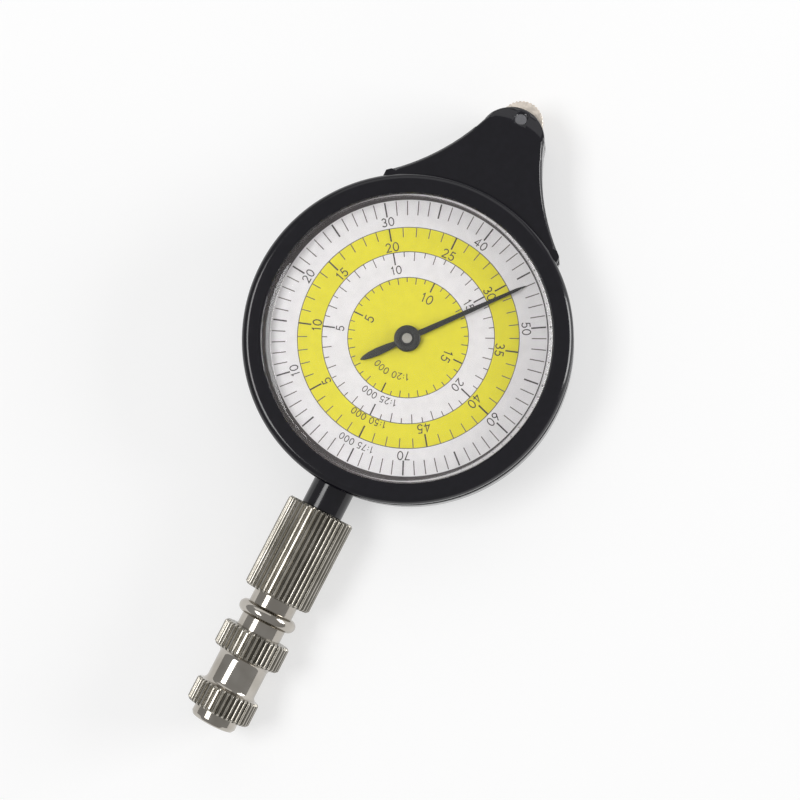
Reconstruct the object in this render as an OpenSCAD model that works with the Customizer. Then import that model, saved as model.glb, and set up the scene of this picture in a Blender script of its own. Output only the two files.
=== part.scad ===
// Opisometer: a map measurer with a tracing wheel, a reducing gear train and a round dial.
// It lies on its back. The dial faces +Z, the tracing wheel points to +Y and the handle to -Y.
// The origin is the dial's centre, on the flat back of the case.

/* [Case] */
// Outer radius of the round case
case_r = 26.8; // [26.5:0.1:29]
// Thickness of the round case's side wall
wall_t = 1.8; // [1.5:0.1:2]
// Thickness of the back shell's floor
floor_t = 1.4; // [1.2:0.1:2]
// Height of the front shell's rim above the dial
rim_h = 1.5; // [1.2:0.1:2]
// Chamfer round the edges of the back
back_edge = 0.8; // [0.4:0.1:1]
// Width of the ledge under the dial's edge
ledge_w = 2.6; // [1.5:0.1:3]
// Height of the ledge under the dial's edge
ledge_h = 0.8; // [0.6:0.1:1]

/* [Snout] */
// Distance from the round case's rim to the tracing wheel's axle
wheel_reach = 13.3; // [12.6:0.1:14]
// Half of the snout's width where it meets the round case
root_half_w = 15.7; // [14.5:0.1:16.2]
// Length of the snout's straight root, beside the round case
root_step = 1.2; // [0.8:0.1:1.6]
// Half of the snout's width at its waist, just behind the rounded tip
waist_half_w = 5.7; // [5.3:0.05:6]
// Distance from the waist to the tracing wheel's axle
waist_back = 3.5; // [3.2:0.1:3.8]
// Radius of the snout's hollow flanks
flank_r = 36; // [33:0.5:42]
// Radius of the rounded tip
tip_r = 5.45; // [5.3:0.05:6]
// Distance from the tip circle's centre to the tracing wheel's axle
tip_back = 3.6; // [3.3:0.1:4]
// Thickness of the snout's side walls
snout_wall = 1.2; // [0.9:0.1:1.4]
// Thickness of the snout's front wall
deck_t = 1.4; // [1:0.1:1.4]
// Chamfer along the snout's front edges
deck_edge = 0.6; // [0.3:0.1:0.8]
// Drop of the slope over the front of the tip
nose_drop = 1.4; // [0.8:0.1:2]
// Width of that slope where it is widest
nose_w = 3; // [2.5:0.1:3.2]
// Radius of the arc along the slope's inner edge
nose_r = 10; // [9:0.5:12]
// Distance from the axle back to the end of the side walls, beside the wheel
cheek_back = 1.4; // [1:0.1:2]

/* [Bezel and crystal] */
// Height of the bezel above the front shell
bezel_h = 1.6; // [1.3:0.1:2]
// Width of the bezel's lip over the crystal's edge
lip_w = 0.7; // [0.5:0.1:1.2]
// Radius of the rounding on the bezel's outer edge
bezel_round = 1.3; // [0.6:0.1:1.4]
// Thickness of the bezel's lip over the crystal's edge
lip_t = 0.7; // [0.5:0.1:1]
// Thickness of the bezel's skirt, which goes down inside the case wall
skirt_t = 0.6; // [0.4:0.1:0.8]
// Thickness of the crystal's window
crystal_t = 1.6; // [1.2:0.1:1.8]
// Thickness of the crystal's downward rim
crystal_rim_t = 0.6; // [0.4:0.1:0.8]
// Width of the slope round the crystal's face
crystal_bevel = 1; // [0.5:0.1:1.5]
// Height of the slope round the crystal's face
crystal_bevel_h = 0.6; // [0.3:0.1:0.7]

/* [Dial and hand] */
// Thickness of the dial plate
dial_t = 0.5; // [0.3:0.1:0.6]
// Height of the hand's arm above the dial
hand_lift = 0.6; // [0.4:0.1:0.8]
// Thickness of the hand's arm
hand_t = 0.25; // [0.15:0.05:0.3]
// Distance from the hand's tip to the edge of the bezel's opening
hand_gap = 2.6; // [2:0.1:4]
// Length of the hand's tail
tail_len = 8.3; // [6:0.1:10]
// Width of the hand's arm at the hub
hand_w = 1.05; // [0.8:0.05:1.3]
// Width of the hand's arm at its tip
hand_tip_w = 0.5; // [0.3:0.05:0.7]
// Greatest width of the hand's tail
tail_w = 1.3; // [1:0.05:1.6]
// Radius of the hand's hub
hub_r = 2.15; // [1.8:0.05:2.6]
// Height of the hand's hub
hub_h = 0.8; // [0.5:0.1:0.9]
// Direction of the hand in the plane of the dial, anticlockwise from +X
hand_angle = 51; // [0:1:359]

/* [Tracing wheel] */
// Map length, on paper, that turns the hand once round
map_length = 1000; // [960:10:1020]
// Width of the tracing wheel
wheel_w = 3.4; // [2.6:0.1:3.6]
// Number of serrations round the tracing wheel
wheel_serrations = 36; // [30:1:42]
// Depth of the serrations
serration_depth = 0.2; // [0.15:0.01:0.35]
// Radius of the wheel's axle
axle_r = 0.6; // [0.5:0.05:0.7]
// Radius of the washers on the axle
washer_r = 1.3; // [1.1:0.05:1.45]
// Radius of the axle's head, which shows in the front of the snout
axle_head_r = 0.93; // [0.85:0.01:1.1]
// Thickness of the axle's head
axle_head_t = 1.2; // [0.8:0.1:1.4]

/* [Gear train] */
// Distance from the tracing wheel's axle back to the first arbor
arbor_1_back = 6.8; // [6.6:0.05:7]
// Distance from the first arbor back to the second arbor
arbor_2_back = 13.3; // [12.9:0.05:13.4]
// Teeth of the pinion on the tracing wheel
wheel_pinion_z = 10; // [10:1:10]
// Teeth of the gear on the first arbor
gear_1_z = 24; // [24:1:24]
// Teeth of the pinion on the first arbor
pinion_1_z = 10; // [10:1:10]
// Teeth of the gear on the second arbor
gear_2_z = 50; // [50:1:50]
// Teeth of the pinion on the second arbor
pinion_2_z = 16; // [16:1:16]
// Teeth of the gear on the hand's arbor
centre_gear_z = 60; // [60:1:60]
// Thickness of each gear and pinion
gear_t = 1.2; // [1:0.1:1.2]
// Gap between the gear layers, and between a gear and a plate
layer_gap = 0.4; // [0.35:0.05:0.5]
// Radius of the arbors between the plates
arbor_r = 0.75; // [0.6:0.05:0.9]
// Radius of the arbors' pivots
pivot_r = 0.5; // [0.35:0.05:0.55]
// Radius of the hand's arbor above its gear
hand_arbor_r = 0.8; // [0.7:0.05:1]
// Height of the arbor's end above the hand's hub
arbor_stand_out = 0.15; // [0.05:0.05:0.2]
// Radius of the bush in which the hand's arbor turns
bush_r = 1.6; // [1.3:0.05:1.8]
// Width of the flange under the bush
bush_flange = 0.6; // [0.3:0.05:0.8]

/* [Movement plates] */
// Thickness of the two plates
plate_t = 0.8; // [0.6:0.1:1]
// Gap between the round part of the plates and the case screws' bosses
plate_gap = 0.8; // [0.5:0.1:1.2]
// Half of the width of the plates' tongue at its root
tongue_half_w = 6; // [4:0.1:7]
// Radius of the tongue's rounded end, round the first arbor
tongue_end_r = 2.2; // [1.8:0.1:2.4]
// Gap between the front plate and the dial
dial_gap = 0.2; // [0.2:0.05:0.4]
// Radius of the pillars
pillar_r = 1.3; // [1.1:0.05:1.5]
// Radius of the pillars' feet, which are riveted in the back plate
pillar_foot_r = 0.65; // [0.5:0.05:0.8]
// Distance from the plates' round edge to the pillars' axes
pillar_inset = 1.9; // [1.6:0.1:2.1]
// Radius of the movement screws' shanks
small_screw_r = 0.6; // [0.5:0.05:0.7]
// Length of the movement screws' threads
small_thread = 0.9; // [0.7:0.05:1]
// Width of the slots in the movement screws
small_slot_w = 0.3; // [0.2:0.05:0.4]
// Radius of the plate screws' heads
plate_screw_head_r = 1.3; // [1.1:0.1:1.6]
// Thickness of the plate screws' heads
plate_screw_head_t = 0.6; // [0.4:0.05:0.8]
// Distance from the plates' round edge to the plate screws' axes
plate_screw_inset = 8.5; // [7:0.5:11]

/* [Case screws] */
// Depth to which the case screws' bosses run into the case wall
boss_sink = 0.1; // [0.05:0.05:0.3]
// Radius of the case screws' bosses
boss_r = 2; // [1.8:0.05:2.1]
// Radius of the case screws' heads
case_head_r = 1.45; // [1.3:0.05:1.5]
// Thickness of the case screws' heads
case_head_t = 0.8; // [0.6:0.1:0.9]
// Radius of the case screws' shanks
case_shank_r = 0.75; // [0.6:0.05:0.8]
// Width of the slots in the case screws
case_slot_w = 0.4; // [0.3:0.05:0.6]
// Depth of the case screws' heads below the back
head_sink = 0.15; // [0.05:0.05:0.3]

/* [Handle] */
// Radius of the stem
stem_r = 3.5; // [3.2:0.05:3.7]
// Visible length of the stem
stem_len = 4.2; // [3:0.1:6]
// Depth of the stem's seat in the case wall
stem_seat_depth = 0.6; // [0.4:0.1:1]
// Radius of the stem's spigot through the case wall
spigot_r = 1.6; // [1.4:0.05:1.7]
// Width across the flats of the nut on the spigot
nut_flats = 4.4; // [4:0.1:4.6]
// Thickness of the nut on the spigot
nut_t = 1.8; // [1.4:0.1:2]
// Radius of the knurled grip, which also sets the height of the handle's axis
grip_r = 5.75; // [5.5:0.05:5.9]
// Length of the knurled sleeve
sleeve_len = 15.9; // [12:0.1:20]
// Radius of the sleeve's bore and of the threads in it
sleeve_bore_r = 2.4; // [2:0.1:2.8]
// Length of the stem's thread inside the sleeve
stem_thread_len = 7; // [5:0.5:7.5]
// Length of the tail's thread inside the sleeve
tail_thread_len = 4; // [3:0.5:4.5]
// Number of flutes round each knurl
flutes = 40; // [32:1:48]
// Depth of the flutes
flute_depth = 0.32; // [0.2:0.02:0.4]
// Chamfer at the ends of each knurl
knurl_edge = 0.35; // [0.2:0.05:0.6]

/* [Handle tail] */
// Radius of the necks on both sides of the bead
neck_r = 3.8; // [3.4:0.05:4.2]
// Radius of the bead
bead_r = 5; // [4.6:0.05:5.3]
// Distance from the sleeve to the middle of the bead
bead_at = 3.25; // [3:0.05:3.6]
// Width of the bead's rim
bead_rim_w = 0.8; // [0.5:0.05:1]
// Length of the bead's slope on each side
bead_slope = 1.25; // [1:0.05:1.5]
// Distance from the sleeve to the middle knurl
knurl_2_at = 6.5; // [6.2:0.05:7]
// Length of the middle knurl
knurl_2_len = 4.4; // [3.5:0.1:5.5]
// Radius of the waist behind the middle knurl
waist_r = 4.25; // [3.9:0.05:4.6]
// Length of the waist
waist_len = 5.8; // [4.5:0.1:7]
// Radius of the hollow curves at the waist's ends
waist_fillet = 0.9; // [0.6:0.05:1]
// Radius of the end knurl
knurl_3_r = 5.5; // [5.2:0.05:5.65]
// Length of the end knurl
knurl_3_len = 4.1; // [3:0.1:5]
// Radius of the end button
button_r = 3.85; // [3.4:0.05:4.2]
// Length of the end button
button_len = 2.1; // [1.5:0.1:2.5]
// Depth of the rounding on the end button's face
button_round = 0.7; // [0.4:0.1:1]

/* [Clearances] */
// Radial clearance of a turning fit
run_fit = 0.03; // [0.02:0.01:0.06]
// Clearance between pieces that are pressed, screwed or laid together
seat_fit = 0.01; // [0.01:0.01:0.03]
// Clearance of a screw in the hole that it passes through
screw_gap = 0.1; // [0.05:0.05:0.15]
// Radial gap between the dial, the crystal, the bezel's skirt and the case wall
nest_gap = 0.1; // [0.05:0.05:0.15]
// End play of the arbors and of the tracing wheel
end_play = 0.15; // [0.1:0.05:0.2]
// Clearance round a moving piece that runs free
free_gap = 0.35; // [0.3:0.05:0.4]
// Share of a tooth's thickness that is kept, the rest being backlash
tooth_fill = 0.9; // [0.86:0.01:0.94]

/* [Hidden] */
$fn = 96;

// Length by which a cutter passes the face it cuts
over = 1;

// Heights of the layers, from the back upwards
parting_z = grip_r;
back_plate_z = floor_t;
layer_1_z = back_plate_z + plate_t + layer_gap;
layer_2_z = layer_1_z + gear_t + layer_gap;
layer_3_z = layer_2_z + gear_t + layer_gap;
front_plate_z = layer_3_z + gear_t + layer_gap;
front_plate_top = front_plate_z + plate_t;
dial_z = front_plate_top + dial_gap;
dial_top = dial_z + dial_t;
deck_z = dial_top + rim_h;
bezel_top = deck_z + bezel_h;
lip_z = bezel_top - lip_t;
crystal_z = bezel_top - crystal_t;
hand_z = dial_top + hand_lift;
hub_z = hand_z - (hub_h - hand_t) / 2;
hand_arbor_top = hub_z + hub_h + arbor_stand_out;

// Radii that nest in the round case
cavity_r = case_r - wall_t;
skirt_r = cavity_r - nest_gap;
skirt_inner_r = skirt_r - skirt_t;
crystal_r = skirt_inner_r - nest_gap;
window_r = crystal_r - lip_w;
crystal_face_r = window_r - nest_gap;
dial_r = skirt_r - nest_gap;
dial_hole_r = hand_arbor_r + free_gap;
hand_len = window_r - hand_gap;
case_screw_circle_r = cavity_r + boss_sink - boss_r;
plate_r = case_screw_circle_r - boss_r - plate_gap;
pillar_circle_r = plate_r - pillar_inset;
plate_screw_circle_r = plate_r - plate_screw_inset;

// Distances of the arbors from the dial's centre
wheel_y = case_r + wheel_reach;
arbor_1_y = wheel_y - arbor_1_back;
arbor_2_y = arbor_1_y - arbor_2_back;

// The wheel's radius makes one turn of the hand equal to map_length
train_ratio = (gear_1_z / wheel_pinion_z) * (gear_2_z / pinion_1_z) * (centre_gear_z / pinion_2_z);
wheel_r = map_length / train_ratio / (2 * PI);
wheel_z = layer_2_z;
wheel_top = wheel_z + wheel_w;

// Each pair's module follows from the distance between its arbors
module_1 = 2 * (wheel_y - arbor_1_y) / (wheel_pinion_z + gear_1_z);
module_2 = 2 * (arbor_1_y - arbor_2_y) / (pinion_1_z + gear_2_z);
module_3 = 2 * arbor_2_y / (pinion_2_z + centre_gear_z);
addendum = 0.9;
dedendum = 1.15;
pressure_angle = 20;
gear_1_tip_r = module_1 * (gear_1_z / 2 + addendum);

// The snout's plan
root_y = sqrt(case_r * case_r - root_half_w * root_half_w) + root_step;
tip_y = wheel_y - tip_back;
waist_y = wheel_y - waist_back;
flank_end_y = tip_y + tip_r / 5;
chord = [waist_half_w - root_half_w, waist_y - root_y];
chord_len = norm(chord);
chord_rise = sqrt(flank_r * flank_r - chord_len * chord_len / 4);
flank_x = (waist_half_w + root_half_w) / 2 + chord_rise * chord[1] / chord_len;
flank_y = (waist_y + root_y) / 2 - chord_rise * chord[0] / chord_len;

// The solid tip, the lips on both sides of the wheel, and the slope on the front lip
tip_start_y = arbor_1_y + tongue_end_r + 2 * free_gap;
slot_z = back_plate_z + plate_t;
slot_top = wheel_top + layer_gap;
slot_y = wheel_y - cheek_back;
nose_y = tip_y + tip_r - nose_w - nose_r;

// Places of the fasteners
case_screw_angles = [35, 145, 215, 325];
pillar_angles = [22, 158, 235, 305];
plate_screw_angles = [30, 150, 270];
boss_top = dial_z - ledge_h;
case_head_top = head_sink + case_head_t;
small_hole_z = floor_t - small_thread - seat_fit;
axle_foot_z = floor_t / 2;
pillar_screw_end = front_plate_z - 2 * small_thread;

// Distances along the handle, from the dial's centre
stem_start = case_r - stem_seat_depth;
sleeve_start = case_r + stem_len;
sleeve_end = sleeve_start + sleeve_len;
knurl_2_start = sleeve_end + knurl_2_at;
knurl_2_end = knurl_2_start + knurl_2_len;
knurl_3_start = knurl_2_end + waist_len;
knurl_3_end = knurl_3_start + knurl_3_len;
handle_end = knurl_3_end + button_len;

function polar(r, a) = [r * cos(a), r * sin(a)];
function involute(a) = tan(a) - a * PI / 180;

// Half of a tooth's angle at radius r, for a gear of z teeth and pitch radius pitch_r
function tooth_half_angle(r, z, pitch_r) =
    let (base_r = pitch_r * cos(pressure_angle))
    let (slope = r > base_r ? acos(base_r / r) : 0)
    90 / z * tooth_fill + (involute(pressure_angle) - involute(slope)) * 180 / PI;

// Colours
black_plastic = [0.1, 0.1, 0.11];
nickel = [0.72, 0.68, 0.63];
steel = [0.62, 0.63, 0.65];
brass = [0.8, 0.66, 0.32];

// ---- shapes that are used more than once ----

// A cylinder between two heights
module cylinder_from(z, top, r) {
    translate([0, 0, z]) cylinder(r = r, h = top - z);
}

// A spur gear with its first tooth at the angle given, and a bore for its arbor
module gear(z, m, tooth_at, bore_r) {
    pitch_r = m * z / 2;
    root_r = pitch_r - dedendum * m;
    radii = [root_r, pitch_r, pitch_r + addendum * m];
    flank = [for (r = radii) [r, tooth_half_angle(r, z, pitch_r)]];
    points = [for (i = [0 : z - 1]) let (a = tooth_at + 360 * i / z)
              each concat([for (f = flank) polar(f[0], a - f[1])],
                          [for (k = [2 : -1 : 0]) polar(flank[k][0], a + flank[k][1])])];
    linear_extrude(gear_t) difference() {
        polygon(points);
        circle(bore_r);
    }
}

// Round windows in a gear, between its boss and its rim
module gear_windows(count, circle_r, window) {
    for (i = [0 : count - 1])
        rotate(360 * i / count) translate([circle_r, 0, -over]) cylinder(r = window, h = gear_t + 2 * over);
}

// The snout's plan, drawn in by inset
module snout_plan(inset) {
    difference() {
        translate([-root_half_w + inset, 0]) square([2 * (root_half_w - inset), flank_end_y]);
        for (side = [-1, 1])
            translate([side * flank_x, flank_y]) circle(flank_r + inset, $fn = 240);
    }
}

// The snout's outside, with its rounded tip
module snout_block(z, h) {
    translate([0, 0, z]) linear_extrude(h) {
        snout_plan(0);
        translate([0, tip_y]) circle(tip_r);
    }
}

// The space inside the snout, up to its solid tip
module snout_space(z, h) {
    translate([0, 0, z]) linear_extrude(h) intersection() {
        snout_plan(snout_wall);
        translate([-root_half_w, 0]) square([2 * root_half_w, tip_start_y]);
    }
}

// Cutter for the chamfers along both flanks: face_z is the face, and up is 1 for a front face
module flank_chamfers(face_z, up) {
    intersection() {
        for (side = [-1, 1])
            translate([side * flank_x, flank_y, face_z]) rotate_extrude($fn = 240)
                polygon([[flank_r - over, -up * deck_edge], [flank_r, -up * deck_edge],
                         [flank_r + deck_edge, 0], [flank_r + deck_edge, up * over],
                         [flank_r - over, up * over]]);
        translate([-case_r, root_y + deck_edge, -over]) cube([2 * case_r, case_r, 2 * deck_z]);
    }
}

// Space for the wheel, its pinion and the first gear, between the two lips of the tip
module wheel_slot() {
    translate([0, wheel_y, slot_z]) cylinder(r = wheel_r + free_gap, h = slot_top - slot_z);
    translate([-tip_r - over, slot_y, slot_z]) cube([2 * (tip_r + over), tip_r + over, slot_top - slot_z]);
    translate([0, arbor_1_y, slot_z]) cylinder(r = gear_1_tip_r + free_gap, h = slot_top - slot_z);
}

// Places copies at the case screws
module at_case_screws() {
    for (a = case_screw_angles) rotate(a + 180) translate([-case_screw_circle_r, 0, 0]) children();
}

// Places copies at the pillars
module at_pillars() {
    for (a = pillar_angles) rotate(a) translate([pillar_circle_r, 0, 0]) children();
}

// Places copies at the plate screws
module at_plate_screws() {
    for (a = plate_screw_angles) rotate(a) translate([plate_screw_circle_r, 0, 0]) children();
}

// Lays a shape that is drawn along +Z along the handle, so that its z is the distance from the dial
module along_handle() {
    translate([0, 0, parting_z]) rotate([90, 0, 0]) children();
}

// The seat for the stem's end and its spigot, in the case wall
module stem_seat() {
    along_handle() {
        cylinder_from(stem_start, sleeve_start, stem_r + seat_fit);
        cylinder_from(cavity_r - stem_len, sleeve_start, spigot_r + seat_fit);
    }
}

// A straight knurl from start to end
module knurl(r, start, end) {
    step = 360 / flutes;
    points = [for (i = [0 : flutes - 1])
              each [polar(r, step * (i - 0.18)), polar(r, step * (i + 0.18)),
                    polar(r - flute_depth, step * (i + 0.42)), polar(r - flute_depth, step * (i + 0.58))]];
    intersection() {
        translate([0, 0, start]) linear_extrude(end - start) polygon(points);
        rotate_extrude() polygon([[0, start], [r - knurl_edge, start], [r + seat_fit, start + knurl_edge],
                                  [r + seat_fit, end - knurl_edge], [r - knurl_edge, end], [0, end]]);
    }
}

// The outline that both movement plates share
module plate_plan() {
    circle(plate_r);
    translate([0, arbor_1_y]) circle(tongue_end_r);
    polygon([[-tongue_half_w, 0], [tongue_half_w, 0], [tongue_half_w, plate_r],
             [tongue_end_r - seat_fit, arbor_1_y], [-tongue_end_r + seat_fit, arbor_1_y],
             [-tongue_half_w, plate_r]]);
}

// An arbor with a pivot in each plate
module arbor(y) {
    translate([0, y, 0]) {
        cylinder_from(back_plate_z + end_play, front_plate_top - end_play, pivot_r);
        cylinder_from(back_plate_z + plate_t + end_play, front_plate_z - end_play, arbor_r);
    }
}

// ---- the case ----

module back_shell() {
    color(black_plastic) difference() {
        union() {
            difference() {
                union() {
                    rotate_extrude() polygon([[0, 0], [case_r - back_edge, 0], [case_r, back_edge],
                                              [case_r, parting_z], [0, parting_z]]);
                    snout_block(0, parting_z);
                }
                translate([0, 0, floor_t]) cylinder(r = cavity_r, h = parting_z);
                snout_space(floor_t, parting_z);
                flank_chamfers(0, -1);
            }
            at_case_screws() cylinder_from(floor_t / 2, parting_z, boss_r);
        }
        wheel_slot();
        stem_seat();
        at_case_screws() {
            cylinder_from(-over, parting_z + over, case_shank_r + screw_gap);
            cylinder_from(-over, case_head_top, case_head_r + screw_gap);
        }
        at_plate_screws() cylinder_from(small_hole_z, parting_z, small_screw_r + seat_fit);
        translate([0, wheel_y, 0]) cylinder_from(axle_foot_z, parting_z, axle_r + seat_fit);
    }
}

module front_shell() {
    color(black_plastic) difference() {
        union() {
            difference() {
                union() {
                    translate([0, 0, parting_z]) cylinder(r = case_r, h = deck_z - parting_z);
                    snout_block(parting_z, deck_z - parting_z);
                }
                translate([0, 0, parting_z - over]) cylinder(r = cavity_r, h = deck_z);
                snout_space(parting_z - over, deck_z - deck_t - parting_z + over);
                flank_chamfers(deck_z, 1);
            }
            difference() {
                translate([0, 0, boss_top]) cylinder(r = cavity_r + wall_t / 2, h = ledge_h);
                translate([0, 0, boss_top - over]) cylinder(r = cavity_r - ledge_w, h = ledge_h + 2 * over);
                translate([-root_half_w, 0, boss_top - over]) cube([2 * root_half_w, case_r, ledge_h + 2 * over]);
                translate([-stem_r, -case_r, boss_top - over]) cube([2 * stem_r, case_r, ledge_h + 2 * over]);
            }
            at_case_screws() cylinder_from(parting_z, boss_top + ledge_h / 4, boss_r);
        }
        wheel_slot();
        stem_seat();
        at_case_screws() cylinder_from(parting_z - over, boss_top - seat_fit, case_shank_r + seat_fit);
        nose_slope();
        translate([0, wheel_y, 0]) {
            cylinder_from(parting_z, deck_z + over, axle_r + seat_fit);
            cylinder_from(deck_z - axle_head_t, deck_z + over, axle_head_r + seat_fit);
        }
    }
}

// Cutter for the slope over the front of the tip
module nose_slope() {
    intersection() {
        translate([0, nose_y, deck_z]) rotate_extrude()
            polygon([[nose_r, 0], [nose_r + 2 * nose_w, -2 * nose_drop], [nose_r + 2 * nose_w, over],
                     [nose_r, over]]);
        translate([-case_r, waist_y, 0]) cube([2 * case_r, case_r, 2 * deck_z]);
    }
}

module bezel() {
    flat_r = case_r - bezel_round;
    color(black_plastic) rotate_extrude() {
            translate([skirt_inner_r, deck_z]) square([flat_r - skirt_inner_r, bezel_h]);
            translate([skirt_inner_r, deck_z]) square([case_r - skirt_inner_r, bezel_h - bezel_round]);
            translate([flat_r, bezel_top - bezel_round]) intersection() {
                circle(bezel_round);
                translate([-seat_fit, -seat_fit]) square(bezel_round + 2 * seat_fit);
            }
            translate([window_r, lip_z]) square([flat_r - window_r, lip_t]);
            translate([skirt_inner_r, dial_top]) square([skirt_t, bezel_h]);
    }
}

module crystal() {
    color([0.85, 0.9, 0.95, 0.35]) rotate_extrude()
        polygon([[0, crystal_z], [crystal_r - crystal_rim_t, crystal_z], [crystal_r - crystal_rim_t, dial_top],
                 [crystal_r, dial_top], [crystal_r, lip_z], [crystal_face_r, lip_z],
                 [crystal_face_r, bezel_top - crystal_bevel_h],
                 [crystal_face_r - crystal_bevel, bezel_top], [0, bezel_top]]);
}

module dial() {
    color([0.93, 0.92, 0.9]) translate([0, 0, dial_z]) difference() {
        cylinder(r = dial_r, h = dial_t);
        translate([0, 0, -over]) cylinder(r = dial_hole_r, h = dial_t + 2 * over);
    }
}

module case_screws() {
    color(steel) at_case_screws() difference() {
        union() {
            cylinder_from(head_sink, case_head_top, case_head_r);
            cylinder_from(head_sink, boss_top - 2 * seat_fit, case_shank_r);
        }
        translate([-case_head_r - over, -case_slot_w / 2, -over])
            cube([2 * (case_head_r + over), case_slot_w, over + head_sink + case_head_t / 2]);
    }
}

// ---- the movement ----

module back_plate() {
    color(brass) translate([0, 0, back_plate_z]) difference() {
        linear_extrude(plate_t) plate_plan();
        for (y = [0, arbor_2_y, arbor_1_y])
            translate([0, y, 0]) cylinder_from(-over, plate_t + over, pivot_r + run_fit);
        at_pillars() cylinder_from(-over, plate_t + over, pillar_foot_r + seat_fit);
        at_plate_screws() cylinder_from(-over, plate_t + over, small_screw_r + screw_gap);
    }
}

module front_plate() {
    color(brass) translate([0, 0, front_plate_z]) difference() {
        linear_extrude(plate_t) plate_plan();
        for (y = [arbor_2_y, arbor_1_y])
            translate([0, y, 0]) cylinder_from(-over, plate_t + over, pivot_r + run_fit);
        cylinder_from(-over, plate_t + over, bush_r + seat_fit);
        at_pillars() {
            cylinder_from(-over, plate_t + over, small_screw_r + screw_gap);
            translate([0, 0, plate_t / 2]) cylinder(r1 = small_screw_r + screw_gap,
                                                    r2 = small_screw_r + screw_gap + plate_t / 2, h = plate_t / 2);
        }
    }
}

module plate_pillars() {
    top = front_plate_z;
    bottom = back_plate_z + plate_t;
    color(brass) at_pillars() difference() {
        union() {
            cylinder_from(bottom, top, pillar_r);
            cylinder_from(back_plate_z, bottom + over, pillar_foot_r);
        }
        cylinder_from(pillar_screw_end - seat_fit, top + over, small_screw_r + seat_fit);
    }
}

module pillar_screws() {
    color(steel) at_pillars() difference() {
        union() {
            cylinder_from(pillar_screw_end, front_plate_top - plate_t / 4, small_screw_r);
            translate([0, 0, front_plate_top - plate_t / 2])
                cylinder(r1 = small_screw_r, r2 = small_screw_r + plate_t / 2, h = plate_t / 2);
        }
        translate([-pillar_r, -small_slot_w / 2, front_plate_top - plate_t / 4])
            cube([2 * pillar_r, small_slot_w, over]);
    }
}

module plate_screws() {
    head_z = back_plate_z + plate_t;
    color(steel) at_plate_screws() difference() {
        union() {
            cylinder_from(floor_t - small_thread, head_z, small_screw_r);
            cylinder_from(head_z, head_z + plate_screw_head_t, plate_screw_head_r);
        }
        translate([-plate_screw_head_r - over, -small_slot_w / 2, head_z + plate_screw_head_t / 2])
            cube([2 * (plate_screw_head_r + over), small_slot_w, over]);
    }
}

module centre_bush() {
    color(brass) difference() {
        union() {
            cylinder_from(layer_3_z + gear_t + end_play, front_plate_top, bush_r);
            cylinder_from(layer_3_z + gear_t + end_play, front_plate_z, bush_r + bush_flange);
        }
        cylinder_from(0, bezel_top, hand_arbor_r + run_fit);
    }
}

module centre_arbor() {
    color(steel) {
        cylinder_from(back_plate_z + end_play, layer_1_z, pivot_r);
        cylinder_from(back_plate_z + plate_t + end_play, layer_3_z, arbor_r);
        cylinder_from(layer_3_z, hand_arbor_top, hand_arbor_r);
    }
}

module centre_gear() {
    rim_r = module_3 * centre_gear_z / 2;
    color(brass) difference() {
        translate([0, 0, layer_3_z])
            gear(centre_gear_z, module_3, 90 + 180 / centre_gear_z, hand_arbor_r + seat_fit);
        translate([0, 0, layer_3_z]) gear_windows(5, rim_r * 0.55, rim_r * 0.24);
    }
}

module second_arbor() {
    color(steel) arbor(arbor_2_y);
}

module second_gear() {
    rim_r = module_2 * gear_2_z / 2;
    color(brass) translate([0, arbor_2_y, layer_2_z]) difference() {
        gear(gear_2_z, module_2, 90 + 180 / gear_2_z, arbor_r + seat_fit);
        gear_windows(5, rim_r * 0.58, rim_r * 0.22);
    }
}

module second_pinion() {
    color(brass) translate([0, arbor_2_y, layer_3_z]) gear(pinion_2_z, module_3, -90, arbor_r + seat_fit);
}

module first_arbor() {
    color(steel) arbor(arbor_1_y);
}

module first_gear() {
    color(brass) translate([0, arbor_1_y, layer_1_z])
        gear(gear_1_z, module_1, 90 + 180 / gear_1_z, arbor_r + seat_fit);
}

module first_pinion() {
    color(brass) translate([0, arbor_1_y, layer_2_z]) gear(pinion_1_z, module_2, -90, arbor_r + seat_fit);
}

// ---- the tracing wheel ----

module tracing_wheel() {
    step = 360 / wheel_serrations;
    points = [for (i = [0 : wheel_serrations - 1])
              each [polar(wheel_r, step * (i - 0.14)), polar(wheel_r, step * (i + 0.14)),
                    polar(wheel_r - serration_depth, step * (i + 0.5))]];
    color(nickel) translate([0, wheel_y, wheel_z]) difference() {
        linear_extrude(wheel_w) polygon(points);
        translate([0, 0, -over]) cylinder(r = axle_r + run_fit, h = wheel_w + 2 * over);
    }
}

module wheel_pinion() {
    collar_r = module_1 * (wheel_pinion_z / 2 - dedendum) - end_play;
    color(brass) translate([0, wheel_y, layer_1_z]) {
        gear(wheel_pinion_z, module_1, -90, axle_r + run_fit);
        translate([0, 0, gear_t]) difference() {
            cylinder(r = collar_r, h = layer_gap);
            translate([0, 0, -over]) cylinder(r = axle_r + run_fit, h = layer_gap + 2 * over);
        }
    }
}

// The axle's head is flush with the slope over the tip
module wheel_axle() {
    color(steel) difference() {
        translate([0, wheel_y, 0]) {
            cylinder_from(axle_foot_z, deck_z - axle_head_t, axle_r);
            cylinder_from(deck_z - axle_head_t, deck_z, axle_head_r);
        }
        nose_slope();
    }
}

module wheel_washers() {
    color(steel) translate([0, wheel_y, 0]) difference() {
        union() {
            cylinder_from(slot_z, layer_1_z - end_play, washer_r);
            cylinder_from(wheel_top + end_play, slot_top, washer_r);
        }
        cylinder_from(0, deck_z, axle_r + seat_fit);
    }
}

// ---- the dial's hand ----

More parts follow.
